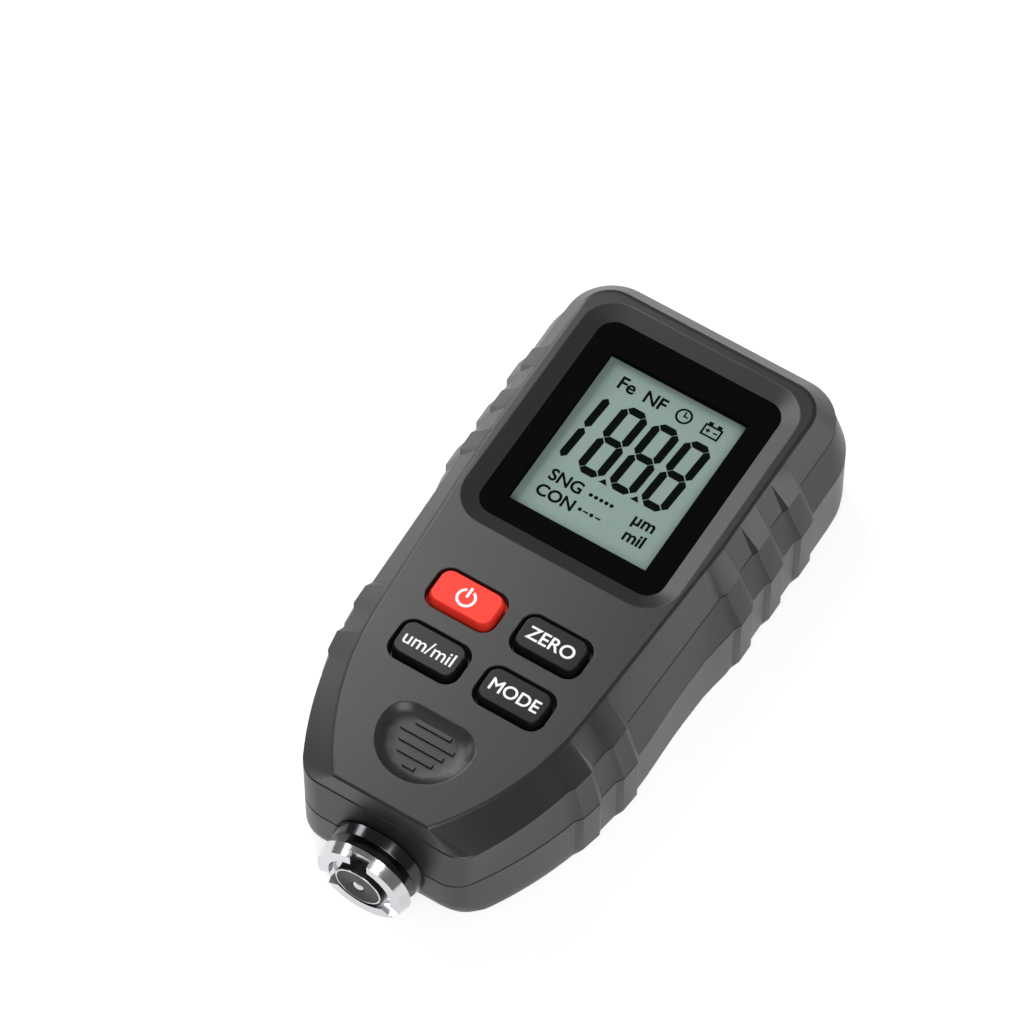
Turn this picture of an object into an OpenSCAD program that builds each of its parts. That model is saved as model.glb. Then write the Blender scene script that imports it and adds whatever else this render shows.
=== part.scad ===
// Hand-held coating thickness gauge: a two-part moulded housing with fluted grips,
// a display window, four keys, a thumb rest and a sprung contact probe at one end.
// Lies on its back. +Z is out of the face, +Y runs towards the display end.

/* [Housing] */
// Length of the housing at the seam, without the probe
housing_l = 102.75; // [98:0.25:108]
// Width of the housing at the seam, between the flutes
housing_w = 53.4; // [52:0.2:57]
// Height of the face above the back
face_h = 26.4; // [25.8:0.1:27.2]
// Wall thickness of the two shells
wall = 2; // [1.8:0.1:2.2]
// Thickness of the face
face_t = 2.2; // [2:0.1:2.4]
// Height of the seam at the middle of the display
seam_h = 14.5; // [14:0.1:15]
// Rise of the seam towards the display end, per unit of length
seam_rise = 0.033; // [0:0.001:0.04]
// How far the seam stands outside the shoulder's lower edge
wall_flare = 2.6; // [1.5:0.1:3]
// Width of the sloping shoulder beside the display
shoulder_w = 3.05; // [2.5:0.05:3.5]
// Drop of the shoulder below the face
shoulder_drop = 4.6; // [4:0.1:5]
// Radius of the long edges of the back
back_r = 2.2; // [2:0.1:3]
// Radius of the back's edge at the probe end
nose_r = 6; // [4:0.5:7]
// Radius of the back's edge at the display end
tail_r = 4; // [3:0.5:5]

/* [Grip flutes] */
// Distance from one flute to the next
flute_pitch = 9.1; // [8.5:0.1:9.5]
// Length of a flute's flat crest
flute_flat = 3.5; // [3:0.1:4]
// Length of a flute's ramp
flute_ramp = 1.05; // [0.8:0.05:1.5]
// Height of a flute
flute_h = 0.62; // [0.3:0.02:0.8]
// Depth of the finger scoop between the two groups of flutes
scoop_depth = 0.6; // [0:0.1:1.2]

/* [Display] */
// Width of the lens
lens_w = 33.4; // [32:0.1:34]
// Length of the lens
lens_l = 40.6; // [39:0.1:41]
// Thickness of the lens
lens_t = 1.2; // [1:0.1:1.4]
// Depth of the lens below the face
lens_depth = 1.05; // [0.6:0.05:1.3]
// Width of the sloping bezel round the lens
bezel_w = 2.8; // [2:0.1:2.9]
// Width of the liquid crystal glass
lcd_w = 30.6; // [29:0.1:31]
// Length of the liquid crystal glass
lcd_l = 36.6; // [35:0.1:37]
// Thickness of the liquid crystal glass
lcd_t = 1.9; // [1.6:0.1:2.2]

/* [Keys] */
// Width of a key opening
key_w = 12.6; // [12:0.1:13]
// Length of a key opening
key_l = 7.7; // [7:0.1:8]
// Gap between a key and its opening
key_gap = 0.65; // [0.4:0.05:0.7]
// Height of a key above the face
key_rise = 1; // [0.6:0.1:1.4]
// Travel of a key
key_travel = 0.5; // [0.3:0.05:0.6]
// Distance between the two columns of keys
key_pitch_x = 15.4; // [15:0.1:16]
// Distance between the two rows of keys
key_pitch_y = 10.7; // [10.2:0.1:11]

/* [Thumb rest] */
// Width of the thumb rest
rest_w = 15.8; // [14:0.1:17]
// Length of the thumb rest
rest_l = 12.4; // [11:0.1:13]
// Depth of the thumb rest
rest_depth = 1; // [0.6:0.1:1.2]

/* [Probe] */
// Height of the probe's axis above the back
probe_h = 9.8; // [9.4:0.1:10.2]
// How far the tip of the probe stands out of its ring
tip_out = 0.55; // [0.4:0.05:0.8]
// Radius of the collar on the housing
collar_r = 8.2; // [7.5:0.1:8.6]
// Length of the collar
collar_l = 1.9; // [1.5:0.1:2.1]
// Radius of the sliding neck
neck_r = 5.6; // [5:0.1:5.7]
// Radius of the notched ring
ring_r = 8.2; // [7.8:0.1:8.7]
// Length of the notched ring
ring_l = 1.9; // [1.5:0.1:2]
// Length of the solid nose that carries the probe
nose_wall = 6; // [5:0.5:7]
// Travel of the probe
probe_travel = 2; // [1:0.1:2]

/* [Batteries] */
// Radius of a battery
cell_r = 5.25; // [5.2:0.05:5.3]
// Length of a battery's can
cell_l = 43.7; // [43:0.1:44]
// Length of a battery's button
cell_nub = 0.8; // [0.6:0.1:1]
// Thickness of the battery door
door_t = 2.2; // [2:0.1:2.3]

/* [Hidden] */
$fn = 48;
eps = 0.01;

// Clearances
slide_gap = 0.15;
seat_gap = 0.1;
running_gap = 0.05;
screw_gap = 0.05;
case_gap = 0.3;

// Ends of the housing: the part is centred on its whole length, probe included
probe_out = collar_l + probe_travel + running_gap + ring_l + tip_out;
overall_l = housing_l + probe_out;
y_top = overall_l / 2;
y_end = y_top - housing_l;
display_inset = 30.35;
display_y = y_top - display_inset;

// Levels
shoulder_z = face_h - shoulder_drop;
lens_top_z = face_h - lens_depth;
lens_z = lens_top_z - lens_t;
under_face_z = face_h - face_t;
function seam_z(y) = seam_h + seam_rise * (y - display_y);

// Outlines of the housing at three levels. Each has a half width, the two ends, the two
// corner radii, and a side that is straight, tapers, then bends in towards the probe.
seam_hw = housing_w / 2;
shoulder_hw = seam_hw - wall_flare;
face_hw = shoulder_hw - shoulder_w;
end_flare = 0.65;
shoulder_inset = 0.85;
face_inset = 4.75;
nose_l = 34.6;
seam_straight = 40.6;
face_straight = 36.6;
seam_corner = 10.5;
seam_nose_corner = 5.5;
shoulder_corner = 8.2;
shoulder_nose_corner = 4.7;
face_corner = 5.2;
face_nose_corner = 0.6;
shoulder_bend = 3.2;
face_bend = 5.3;
seam_bend_r = 65;
shoulder_bend_r = 64;
face_bend_r = 52;
function outline(hw, top, end, top_r, end_r, taper, straight, nose, bend) =
    [hw, top, end, top_r, end_r, taper, straight, nose, bend];
seam_line = outline(
    seam_hw, y_top, y_end, seam_corner, seam_nose_corner, 0.045,
    y_top - seam_straight, y_end + nose_l, seam_bend_r);
shoulder_line = outline(
    shoulder_hw, y_top - shoulder_inset, y_end + end_flare, shoulder_corner, shoulder_nose_corner, 0.027,
    y_top - face_straight, y_end + nose_l - shoulder_bend, shoulder_bend_r);
face_line = outline(
    face_hw, y_top - face_inset, y_end + end_flare + seat_gap, face_corner, face_nose_corner, 0.0557,
    y_top - face_straight, y_end + nose_l - face_bend, face_bend_r);
function inset(o, d) =
    [o[0] - d, o[1] - d, o[2] + d, max(o[3] - d, d), max(o[4] - d, d), o[5], o[6], o[7], o[8] - d];

// Flute centres along each side: three beside the display and two beside the probe
first_flute = 20.65;
last_flute = 22.6;
upper_flutes = [for (i = [0:2]) y_top - first_flute - i * flute_pitch];
lower_flutes = [for (i = [0:1]) y_end + last_flute + (1 - i) * flute_pitch];
function ramp(t) = min(max(t, 0), 1);
function crest(y, c) = ramp((flute_flat / 2 + flute_ramp - abs(y - c)) / flute_ramp);
function flute(y) = max([for (c = concat(upper_flutes, lower_flutes)) crest(y, c)]);
function ease(t) = (1 - cos(180 * ramp(t))) / 2;
scoop_y0 = upper_flutes[2] - 1.2 * flute_flat;
scoop_y1 = lower_flutes[0] + 0.86 * flute_flat;
scoop_in = 5;
scoop_out = 14;
function scoop(y) = ease((scoop_y0 - y) / scoop_in) * ease((y - scoop_y1) / scoop_out);

// Half width of an outline at y, its end corner's centre and its points
function taper_angle(o) = atan(o[5]);
function nose_hw(o) = o[0] - o[5] * (o[6] - o[7]);
function nose_c(o) = [nose_hw(o) - o[8] * cos(taper_angle(o)), o[7] + o[8] * sin(taper_angle(o))];
function side_hw(o, y) =
    y >= o[6] ? o[0]
    : y >= o[7] ? o[0] - o[5] * (o[6] - y)
    : nose_c(o)[0] + sqrt(pow(o[8], 2) - pow(nose_c(o)[1] - y, 2));
function corner_c(o) =
    [nose_c(o)[0] + sqrt(pow(o[8] - o[4], 2) - pow(o[2] + o[4] - nose_c(o)[1], 2)), o[2] + o[4]];
function corner_a(o) = atan2(corner_c(o)[1] - nose_c(o)[1], corner_c(o)[0] - nose_c(o)[0]);
top_steps = 12;
nose_steps = 9;
corner_steps = 6;
function flute_ys(c) =
    let (flat = flute_flat / 2, foot = flat + flute_ramp) [c + foot, c + flat, c - flat, c - foot];
scoop_steps = 9;
side_ys = concat(
    [for (c = upper_flutes, y = flute_ys(c)) y],
    [for (i = [0:scoop_steps]) scoop_y0 + (scoop_y1 - scoop_y0) * i / scoop_steps],
    [for (c = lower_flutes, y = flute_ys(c)) y]);
last_y = side_ys[len(side_ys) - 1];
function right_side(o, flute_d, scoop_d) = concat(
    [for (i = [0:top_steps]) let (a = 90 - 90 * i / top_steps)
        [o[0] - o[3] + o[3] * cos(a), o[1] - o[3] + o[3] * sin(a)]],
    [for (y = side_ys) [side_hw(o, y) + flute_d * flute(y) - scoop_d * scoop(y), y]],
    [for (i = [1:nose_steps - 1])
        let (y = last_y + (corner_c(o)[1] + o[4] * sin(corner_a(o)) - last_y) * i / nose_steps)
        [side_hw(o, y), y]],
    [for (i = [0:corner_steps]) let (a = corner_a(o) + (-90 - corner_a(o)) * i / corner_steps)
        corner_c(o) + o[4] * [cos(a), sin(a)]]);
function closed(side) =
    concat([for (i = [len(side) - 1:-1:0]) side[i]], [for (p = side) [-p[0], p[1]]]);
function ring(o, z, flute_d = 0, scoop_d = 0, rise = 0) =
    [for (p = closed(right_side(o, flute_d, scoop_d))) [p[0], p[1], z + rise * (p[1] - display_y)]];

// Solid skinned over a stack of rings, lowest first. A ring runs up its right side and down
// its left, so its caps are strips that join each point to its mirror image.
module loft(rings) {
    n = len(rings[0]);
    m = len(rings);
    top = (m - 1) * n;
    polyhedron(
        points = [for (r = rings, p = r) p],
        faces = concat(
            [for (i = [0:n / 2 - 2]) [i, i + 1, n - 2 - i, n - 1 - i]],
            [for (k = [0:m - 2], i = [0:n - 1]) let (j = (i + 1) % n)
                each [
                    [k * n + i, (k + 1) * n + i, (k + 1) * n + j],
                    [k * n + i, (k + 1) * n + j, k * n + j]]],
            [for (i = [0:n / 2 - 2]) [top + n - 1 - i, top + n - 2 - i, top + i + 1, top + i]]));
}

// Rounded rectangle centred on y = 0, as points and as a solid
function rounded(w, l, r, steps = 6) =
    [for (c = [[1, -1, -90], [1, 1, 0], [-1, 1, 90], [-1, -1, 180]], i = [0:steps])
        let (a = c[2] + 90 * i / steps)
        [c[0] * (w / 2 - r) + r * cos(a), c[1] * (l / 2 - r) + r * sin(a)]];
function at_height(points, z) = [for (p = points) [p[0], p[1], z]];
module rounded_plate(w, l, r, h) {
    linear_extrude(h) {
        square([w - 2 * r, l], center = true);
        square([w, l - 2 * r], center = true);
        for (x = [-1, 1], y = [-1, 1]) translate([x * (w / 2 - r), y * (l / 2 - r)]) circle(r);
    }
}

// Outer and inner forms of the two shells
seam_edge = 0.25;
face_edge = 0.3;
function shifted(o, side, top, end) =
    [o[0] - side, o[1] - top, o[2] + end, o[3] - side, o[4], o[5], o[6], o[7], o[8] - side];
shadow_line = 0.35;
module front_outer() {
    loft([
        ring(inset(seam_line, seam_edge), seam_h, flute_h, scoop_depth, seam_rise),
        ring(seam_line, seam_h + seam_edge, flute_h, scoop_depth, seam_rise),
        ring(shoulder_line, shoulder_z - 2 * shadow_line, flute_h * 0.7),
        ring(inset(shoulder_line, shadow_line), shoulder_z - 1.2 * shadow_line, flute_h * 0.4),
        ring(shoulder_line, shoulder_z, flute_h),
        ring(
            shifted(face_line, -face_edge * shoulder_w / shoulder_drop, -face_edge * 1.05, 0),
            face_h - face_edge),
        ring(inset(face_line, face_edge), face_h)
    ]);
}
function inner_line(o, d) =
    [o[0] - d, o[1] - d, y_end + nose_wall, o[3] - d, 1.5, o[5], o[6], o[7], o[8] - d];
module front_inner() {
    loft([
        ring(inner_line(seam_line, wall), seam_h - 3, 0, scoop_depth, seam_rise),
        ring(inner_line(seam_line, wall), seam_h + 1, 0, scoop_depth, seam_rise),
        ring(inner_line(shoulder_line, wall), shoulder_z - 1),
        ring(inner_line(face_line, wall / 2), under_face_z)
    ]);
}
// Rings of the back: its edge is rounded by one radius at the sides and others at the ends
back_steps = 5;
back_levels = [for (i = [0:back_steps]) nose_r * (1 - cos(90 * i / back_steps))];
function round_in(r, z) = z >= r ? 0 : r - sqrt(r * r - pow(r - z, 2));
function back_line(z) =
    let (side = round_in(back_r, z), tail = round_in(tail_r, z), nose = round_in(nose_r, z))
    [seam_hw - side, y_top - tail, y_end + nose, seam_corner, seam_nose_corner, seam_line[5], seam_line[6],
     seam_line[7], seam_bend_r - side];
module rear_outer() {
    loft(concat(
        [for (z = back_levels) ring(back_line(z), z, flute_h * ramp(z / back_r), scoop_depth)],
        [ring(seam_line, seam_h - seam_edge, flute_h, scoop_depth, seam_rise),
         ring(inset(seam_line, seam_edge), seam_h, flute_h, scoop_depth, seam_rise)]));
}
module rear_inner() {
    loft([
        ring(inner_line(seam_line, wall + 2), wall, 0, scoop_depth),
        ring(inner_line(seam_line, wall), wall + 1.5, 0, scoop_depth),
        ring(inner_line(seam_line, wall), seam_h + 3, 0, scoop_depth, seam_rise)
    ]);
}

// Places of the screws
case_side = [6.5, 11.2];
case_end = [8.5, 17];
case_x = [seam_hw - case_side[0], seam_hw - case_side[1]];
case_y = [y_top - case_end[0], y_end + case_end[1]];
case_places = [for (i = [0:1], s = [-1, 1]) [s * case_x[i], case_y[i]]];
case_shank_r = 1.2;
case_head_r = 2.3;
case_head_t = 1.8;
case_seat_z = 7;
case_meet_z = seam_h - 2.2;
case_tip_z = shoulder_z - 3.8;
case_boss_r = 3;
board_shank_r = 1;
board_head_r = 1.9;
board_head_t = 1.2;
board_t = 1.6;
board_z = 14.7;
board_top_z = board_z + board_t;
board_boss_r = 2.3;
board_tip_z = under_face_z - 4;

// Keys and switches. The four keys stand between the bezel and the thumb rest.
lens_inset = 0.9;
lens_y = display_y + lens_inset;
bezel_y0 = lens_y - lens_l / 2 - bezel_w;
rest_y = y_end + 12;
rest_y1 = rest_y + rest_l / 2;
keys_mid_y = rest_y1 + 0.436 * (bezel_y0 - rest_y1);
keys_y = keys_mid_y + key_pitch_y / 2;
key_r = 2.4;
key_cap_w = key_w - 2 * key_gap;
key_cap_l = key_l - 2 * key_gap;
key_flange = 1.15;
board_boss_gap = 0.35;
board_x = key_pitch_x / 2 + key_w / 2 + key_flange + board_boss_r + board_boss_gap;
board_ys = [bezel_y0 - 1.6 * board_boss_r, keys_mid_y];
board_places = [for (y = board_ys, s = [-1, 1]) [s * board_x, y]];
key_flange_t = 0.9;
key_flange_z = under_face_z - seat_gap - key_flange_t;
switch_w = 6;
switch_h = (key_flange_z - board_top_z) / 2;
plunger_r = 1.7;
plunger_sunk = 1.2;
plunger_gap = 0.4;
plunger_top_z = board_top_z + switch_h + key_travel + plunger_gap;
function key_place(column, row) = [column * key_pitch_x / 2, keys_y - row * key_pitch_y];
key_places = [for (row = [0, 1], column = [-1, 1]) key_place(column, row)];

module key_opening() {
    translate([0, 0, under_face_z - eps]) rounded_plate(key_w, key_l, key_r, face_t + 1);
}
crown_steps = 5;
crown = key_rise * 0.75;
function key_ring(d, z) =
    at_height(rounded(key_cap_w - 2 * d, key_cap_l - 2 * d, key_r - key_gap - d / 2), z);
module key(place) {
    translate(place) {
        loft(concat(
            [key_ring(0, key_flange_z + key_flange_t / 2)],
            [for (i = [0:crown_steps]) let (a = 90 * i / crown_steps)
                key_ring(1.5 * crown * (1 - cos(a)), face_h + key_rise - crown + crown * sin(a))]));
        translate([0, 0, key_flange_z])
            rounded_plate(key_w + 2 * key_flange, key_l + 2 * key_flange, key_r, key_flange_t);
        translate([0, 0, plunger_top_z])
            cylinder(r = plunger_r, h = key_flange_z - plunger_top_z + eps);
    }
}
module plunger(place) {
    translate([place[0], place[1], board_top_z + switch_h - plunger_sunk])
        cylinder(r = plunger_r, h = plunger_top_z - board_top_z - switch_h + plunger_sunk);
}

// Thumb rest: a dished D with raised ribs
rest_rim = 1.9;
rest_corner = 4;
rest_ribs = [6.2, 9.5, 7.8, 6.2, 2.1];
rib_pitch = 1.8;
rib_start = 3.5;
rib_w = 0.75;
rib_h = 0.35;
rest_steps = 9;
function rest_points(d) = let (r = rest_w / 2 - d, c = rest_corner - d, top = rest_l / 2 - d)
    closed(concat(
        [for (i = [0:4]) let (a = 85 - 85 * i / 4) [r - c + c * cos(a), top - c + c * sin(a)]],
        [for (i = [0:rest_steps]) let (a = -84 * i / rest_steps)
            [r * cos(a), rest_w / 2 - rest_l / 2 + r * sin(a)]]));
module thumb_rest() {
    translate([0, rest_y, 0]) loft([
        at_height(rest_points(rest_rim), face_h - rest_depth),
        at_height(rest_points(rest_rim * 0.5), face_h - rest_depth * 0.75),
        at_height(rest_points(0), face_h),
        at_height(rest_points(0), face_h + 1)
    ]);
}
module thumb_ribs() {
    for (i = [0:len(rest_ribs) - 1])
        translate([-rest_ribs[i] / 2, rest_y + rib_start - i * rib_pitch, face_h - rest_depth - rib_h])
            cube([rest_ribs[i], rib_w, 2 * rib_h]);
}

// Bezel that slopes from the face down to the lens, and the seat of the lens below it
lens_r = 3.15;
bezel_r = 5.8;
window_w = 27.4;
window_l = 33;
frame_t = 0.8;
window_r = 1;
module bezel() {
    translate([0, lens_y, 0]) loft([
        at_height(rounded(lens_w, lens_l, lens_r), lens_z),
        at_height(rounded(lens_w, lens_l, lens_r), lens_top_z),
        at_height(rounded(lens_w + 2 * bezel_w, lens_l + 2 * bezel_w, bezel_r), face_h),
        at_height(rounded(lens_w + 2 * bezel_w, lens_l + 2 * bezel_w, bezel_r), face_h + 1)
    ]);
}

module on_probe_axis(y) {
    translate([0, y, probe_h]) rotate([90, 0, 0]) children();
}

module front_shell() {
    color("#4a4b4d") difference() {
        union() {
            difference() {
                front_outer();
                front_inner();
                thumb_rest();
            }
            thumb_ribs();
            translate([0, lens_y, lens_z - frame_t])
                rounded_plate(
                    lens_w + 2 * wall, lens_l + 2 * wall, lens_r, under_face_z - lens_z + frame_t + eps);
            for (p = case_places) translate([p[0], p[1], case_meet_z + running_gap])
                cylinder(r = case_boss_r, h = shoulder_z - case_meet_z - running_gap);
            for (p = board_places) translate([p[0], p[1], board_top_z])
                cylinder(r = board_boss_r, h = under_face_z - board_top_z + eps);
        }
        bezel();
        translate([0, display_y, lens_z - frame_t - eps])
            rounded_plate(window_w, window_l, window_r, frame_t + 2 * eps);
        for (p = key_places) translate(p) key_opening();
        for (p = case_places) translate([p[0], p[1], case_meet_z])
            cylinder(r = case_shank_r + screw_gap, h = case_tip_z - case_meet_z + 0.5);
        for (p = board_places) translate([p[0], p[1], board_top_z - eps])
            cylinder(r = board_shank_r + screw_gap, h = board_tip_z - board_top_z + 0.5);
        probe_opening();
    }
}

// Hole in the end wall for the collar's sleeve
sleeve_t = 0.7;
sleeve_r = neck_r + sleeve_t;
module probe_opening() {
    on_probe_axis(y_end + nose_wall + 1) cylinder(r = sleeve_r + running_gap, h = nose_wall + 3);
}

// Battery bay and its sliding door
cell_gap = 0.3;
cell_z = door_t + cell_gap + cell_r;
cell_space = 0.8;
cell_x = cell_r + cell_space / 2;
contact_t = 0.4;
contact_room = 4.2;
bay_w = 4 * cell_r + cell_space + 2 * cell_gap;
bay_l = cell_l + cell_nub + contact_room + 2 * contact_t;
bay_y1 = y_top - wall - 3.2;
bay_y0 = bay_y1 - bay_l;
bay_wall = 1.2;
bay_top = cell_z + 2;
door_w = bay_w - 1;
door_y0 = bay_y0 + 1;
door_tongue = 1.2;
tongue_z = 1.1;
rail_w = 3.4;
rail_t = 1.5;
module door_form(d, low) {
    translate([-door_w / 2 - d, door_y0 - d, low])
        cube([door_w + 2 * d, y_top - door_y0 + 2 * d + 1, door_t - low + d]);
    translate([-door_w / 2 - door_tongue - d, door_y0 - d, tongue_z - d])
        cube([door_w + 2 * door_tongue + 2 * d, y_top - door_y0 + 2 * d + 1, door_t - tongue_z + 2 * d]);
}
module rear_shell() {
    color("#3f4042") difference() {
        union() {
            difference() {
                rear_outer();
                rear_inner();
            }
            intersection() {
                rear_outer();
                union() {
                    difference() {
                        translate([-bay_w / 2 - bay_wall, bay_y0 - bay_wall, 0])
                            cube([bay_w + 2 * bay_wall, bay_l + 2 * bay_wall, bay_top]);
                        translate([-bay_w / 2, bay_y0, -eps]) cube([bay_w, bay_l, bay_top + 1]);
                    }
                    for (s = [-1, 1])
                        translate([
                            s * (bay_w / 2 + 0.5), (bay_y0 + y_top) / 2, door_t + slide_gap + rail_t / 2])
                            cube([rail_w, y_top - bay_y0, rail_t], center = true);
                    translate([-door_w / 2 - rail_w, bay_y1, 0])
                        cube([door_w + 2 * rail_w, y_top - bay_y1, door_t + slide_gap + rail_t]);
                    translate([-door_w / 2 - rail_w, bay_y0 - bay_wall, 0])
                        cube([door_w + 2 * rail_w, bay_wall + 2.5, wall + 0.3]);
                    for (p = case_places) translate([p[0], p[1], 0])
                        cylinder(r = case_boss_r + 0.4, h = case_meet_z);
                }
            }
        }
        door_form(slide_gap, -1);
        translate([-bay_w / 2, bay_y0, door_t]) cube([bay_w, bay_l, bay_top]);
        for (p = case_places) translate([p[0], p[1], -eps]) {
            cylinder(r = case_shank_r + case_gap, h = case_meet_z + 1);
            cylinder(r = case_head_r + case_gap, h = case_seat_z + eps);
        }
        probe_opening();
    }
}
door_rise = 0.15;
grip_groove = 0.4;
module battery_door() {
    color("#3a3b3d") difference() {
        intersection() {
            rear_outer();
            door_form(0, door_rise);
        }
        for (i = [0:4]) translate([0, door_y0 + 6 + i * 2, door_rise])
            cube([door_w * 0.55, 0.9, 2 * grip_groove], center = true);
    }
}

module display_lens() {
    color("#0c0d0e") translate([0, lens_y, lens_z])
        rounded_plate(lens_w - 2 * running_gap, lens_l - 2 * running_gap, lens_r, lens_t);
}
lcd_top_z = lens_z - frame_t - seat_gap;
lcd_z = lcd_top_z - lcd_t;
module lcd_panel() {
    color("#82998f") translate([-lcd_w / 2, display_y - lcd_l / 2, lcd_z]) cube([lcd_w, lcd_l, lcd_t]);
}
holder_wall = 1.2;
holder_ledge = 1.6;
module lcd_holder() {
    color("#e4e4de") translate([0, display_y, board_top_z]) difference() {
        linear_extrude(lcd_top_z - board_top_z)
            square([lcd_w + 2 * holder_wall, lcd_l + 2 * holder_wall], center = true);
        translate([0, 0, lcd_z - board_top_z]) linear_extrude(lcd_t + 1)
            square([lcd_w + 2 * seat_gap, lcd_l + 2 * seat_gap], center = true);
        translate([0, 0, -1]) linear_extrude(lcd_top_z)
            square([lcd_w - 2 * holder_ledge, lcd_l + 2 * seat_gap - eps], center = true);
    }
}
connector_w = 2;
module lcd_connectors() {
    color("#d9b9b4") for (s = [-1, 1])
        translate([0, display_y + s * (lcd_l / 2 - connector_w / 2 - cell_gap), (board_top_z + lcd_z) / 2])
            cube(
                [lcd_w - 2 * holder_ledge - 2 * slide_gap, connector_w, lcd_z - board_top_z], center = true);
}

holder_l = 17.5;
holder_y1 = y_end + holder_l;
board_edge = 1.9;
board_end_gap = 2.3;
board_hw = board_x + board_edge;
board_y0 = holder_y1 + board_end_gap;
board_y1 = y_top - wall - 3;
board_chamfer = 10.3;
board_cut_y = case_y[0] - case_boss_r - board_boss_gap;
board_notch = board_hw - case_x[0] + case_boss_r + board_boss_gap;
board_side = [
    [board_hw * 0.56, board_y0], [board_hw, board_y0 + board_chamfer], [board_hw, board_cut_y],
    [board_hw - board_notch, board_cut_y], [board_hw - board_notch, board_y1]
];
board_back = [for (i = [len(board_side) - 1:-1:0]) [-board_side[i][0], board_side[i][1]]];
module circuit_board() {
    color("#1f6b3a") translate([0, 0, board_z]) linear_extrude(board_t) difference() {
        polygon(concat(board_side, board_back));
        for (p = board_places) translate(p) circle(board_shank_r + slide_gap);
    }
}
chip_w = 8;
chip_h = 1.4;
lead_w = 0.4;
lead_l = 1.2;
lead_t = 0.3;
lead_pitch = 0.8;
module processor() {
    color("#1c1d20") translate([0, board_ys[0], board_top_z]) {
        translate([-chip_w / 2, -chip_w / 2, seat_gap]) cube([chip_w, chip_w, chip_h]);
        for (a = [0:90:270], i = [-4:4]) rotate(a)
            translate([i * lead_pitch - lead_w / 2, chip_w / 2 - seat_gap, 0])
                cube([lead_w, lead_l, lead_t]);
    }
}
module switch_bodies() {
    color("#2a2b2e") for (p = key_places) translate([p[0], p[1], board_top_z]) difference() {
        translate([0, 0, switch_h / 2]) cube([switch_w, switch_w, switch_h], center = true);
        translate([0, 0, switch_h - plunger_sunk - key_travel - 0.1])
            cylinder(r = plunger_r + running_gap, h = plunger_sunk + key_travel + 1);
    }
}
module power_key() {
    color("#ee3a2c") key(key_places[0]);
}
module zero_key() {
    color("#26272a") key(key_places[1]);
}
module unit_key() {
    color("#26272a") key(key_places[2]);
}
module mode_key() {
    color("#26272a") key(key_places[3]);
}
module power_plunger() {
    color("#8d8f92") plunger(key_places[0]);
}
module zero_plunger() {
    color("#8d8f92") plunger(key_places[1]);
}
module unit_plunger() {
    color("#8d8f92") plunger(key_places[2]);
}
module mode_plunger() {
    color("#8d8f92") plunger(key_places[3]);
}

// Probe, from the housing's end wall outwards and inwards
ring_front_y = y_end - probe_out + tip_out;
ring_back_y = ring_front_y + ring_l;
clip_y = y_end + nose_wall;
clip_t = 1.2;
sleeve_y = clip_y + 2;
flange_r = neck_r + sleeve_t;
flange_l = 1.6;
flange_y = sleeve_y + seat_gap;
module probe_collar() {
    color("#d8dadd") difference() {
        union() {
            on_probe_axis(y_end) cylinder(r1 = collar_r, r2 = collar_r - 0.5, h = collar_l);
            on_probe_axis(sleeve_y) cylinder(r = sleeve_r, h = sleeve_y - y_end + 0.5);
        }
        on_probe_axis(sleeve_y + 1) cylinder(r = neck_r + running_gap, h = sleeve_y - y_end + collar_l + 3);
    }
}
module probe_clip() {
    color("#b9bcc0") difference() {
        on_probe_axis(clip_y + seat_gap + clip_t) cylinder(r = sleeve_r + sleeve_t, h = clip_t);
        on_probe_axis(clip_y + seat_gap + 2 * clip_t) cylinder(r = sleeve_r + running_gap, h = 3 * clip_t);
    }
}
core_r = 1.4;
coil_r = 3.2;
core_l = 9;
tip_r = 4.1;
tip_l = ring_l + tip_out - 0.1;
module probe_neck() {
    color("#141517") difference() {
        union() {
            on_probe_axis(flange_y + eps) cylinder(r = neck_r, h = flange_y - ring_back_y);
            on_probe_axis(flange_y + flange_l) cylinder(r = flange_r, h = flange_l);
        }
        on_probe_axis(ring_back_y + core_l) cylinder(r = coil_r + running_gap, h = core_l + 1);
    }
}
ring_hole_r = tip_r + 1.5;
notch_w = 3;
notch_depth = 1.1;
module probe_ring() {
    color("#e2e4e6") difference() {
        on_probe_axis(ring_back_y) cylinder(r1 = ring_r, r2 = ring_r - 0.6, h = ring_l);
        on_probe_axis(ring_back_y - 0.4) cylinder(r = ring_hole_r, h = ring_l);
        on_probe_axis(ring_back_y + 1) cylinder(r = tip_r + running_gap, h = ring_l + 2);
        for (a = [90:120:330]) on_probe_axis(ring_front_y) rotate(a)
            translate([ring_hole_r - 1, -notch_w / 2, -notch_depth])
                cube([ring_r, notch_w, notch_depth + 1]);
    }
}
pin_r = 1.1;
module probe_tip() {
    color("#2b2c2f") difference() {
        on_probe_axis(ring_back_y) cylinder(r = tip_r, h = tip_l);
        on_probe_axis(ring_back_y + 1) cylinder(r = pin_r + running_gap, h = tip_l + 3);
    }
}
module probe_pin() {
    color("#f0f0ec") {
        on_probe_axis(ring_back_y) cylinder(r = pin_r, h = tip_l);
        on_probe_axis(ring_front_y - tip_out + pin_r / 2)
            cylinder(r1 = pin_r, r2 = pin_r / 2, h = pin_r / 2);
    }
}
module probe_core() {
    color("#55565a") on_probe_axis(ring_back_y + core_l) cylinder(r = core_r, h = core_l - running_gap);
}
module probe_coil() {
    color("#b5652f") difference() {
        on_probe_axis(ring_back_y + core_l) cylinder(r = coil_r, h = core_l - 1);
        on_probe_axis(ring_back_y + core_l + 1) cylinder(r = core_r + running_gap, h = core_l + 2);
    }
}

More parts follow.
